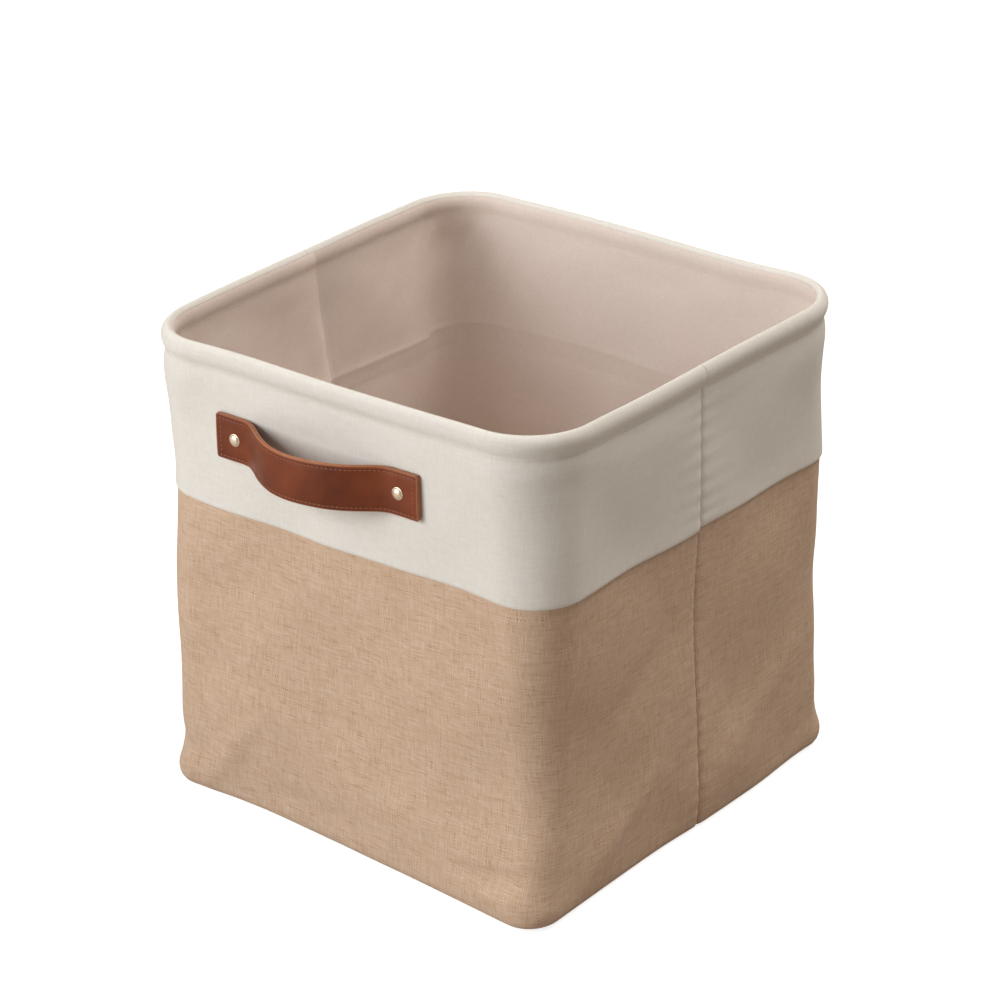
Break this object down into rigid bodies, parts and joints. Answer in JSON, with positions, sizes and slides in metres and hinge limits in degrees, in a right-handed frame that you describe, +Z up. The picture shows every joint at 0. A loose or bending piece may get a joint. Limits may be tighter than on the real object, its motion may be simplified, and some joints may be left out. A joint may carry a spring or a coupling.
{
  "type": "fabric storage bin",
  "caption": "Soft-sided cube storage bin: jute body, padded lined walls, cream band turned over a wire rim, two riveted leather strap handles, loose base board.",
  "frame": {"origin": "on the floor at the middle of the base", "axes": "+Z up, front wall with its strap towards -Y, side seams at plus and minus X"},
  "size_m": [0.3368, 0.381, 0.33],
  "materials": {
    "jute": "tan jute and linen blend, heathered plain weave with slubs",
    "cream_cotton": "natural cream cotton and linen canvas, plain weave",
    "padding": "white foam and felt padding, hidden",
    "lining": "greige coated lining cloth, soft sheen",
    "strap_leather": "brown smooth leather, tan edge stitching, paler cut edge",
    "rivet_metal": "pale gold plated, polished dome",
    "wire": "drawn spring steel wire",
    "board": "pressed fibreboard, hidden by its cloth"
  },
  "bodies": {
    "base": {"bottom_jute": "jute", "bottom_padding": "padding", "bottom_lining": "lining", "lower_jute_front": "jute", "lower_padding_front": "padding", "lower_lining_front": "lining", "lower_jute_back": "jute", "lower_padding_back": "padding", "lower_lining_back": "lining"},
    "rim": {"rim_wire": "wire", "wire_ferrule": "wire", "cream_band_front": "cream_cotton", "upper_padding_front": "padding", "upper_lining_front": "lining", "cream_band_back": "cream_cotton", "upper_padding_back": "padding", "upper_lining_back": "lining", "front_tab_a": "strap_leather", "front_tab_b": "strap_leather", "front_rivet_heads": "rivet_metal", "front_rivet_shanks": "rivet_metal", "front_rivet_washers": "rivet_metal", "back_tab_a": "strap_leather", "back_tab_b": "strap_leather", "back_rivet_heads": "rivet_metal", "back_rivet_shanks": "rivet_metal", "back_rivet_washers": "rivet_metal"},
    "front_strap": {"front_grip": "strap_leather"},
    "back_strap": {"back_grip": "strap_leather"},
    "insert": {"insert_board": "board", "insert_cover": "lining", "insert_pull": "cream_cotton"}
  },
  "joints": [
    {"name": "collapse", "type": "slide", "parent": "base", "child": "rim", "axis": [0, 0, -1], "range_m": [0, 0.2], "deforming": ["lower_jute_front", "lower_padding_front", "lower_lining_front", "lower_jute_back", "lower_padding_back", "lower_lining_back"]},
    {"name": "front_strap_swing", "type": "hinge", "parent": "rim", "child": "front_strap", "pos_m": [-0.013, -0.1624, 0.2725], "axis": [-1, 0, 0], "range_deg": [-30, 30], "stiffness_Nm_per_rad": 0.15},
    {"name": "back_strap_swing", "type": "hinge", "parent": "rim", "child": "back_strap", "pos_m": [0.013, 0.1624, 0.2725], "axis": [1, 0, 0], "range_deg": [-30, 30], "stiffness_Nm_per_rad": 0.15},
    {"name": "insert_lift", "type": "slide", "parent": "base", "child": "insert", "axis": [0, 0, 1], "range_m": [0, 0.34]}
  ]
}
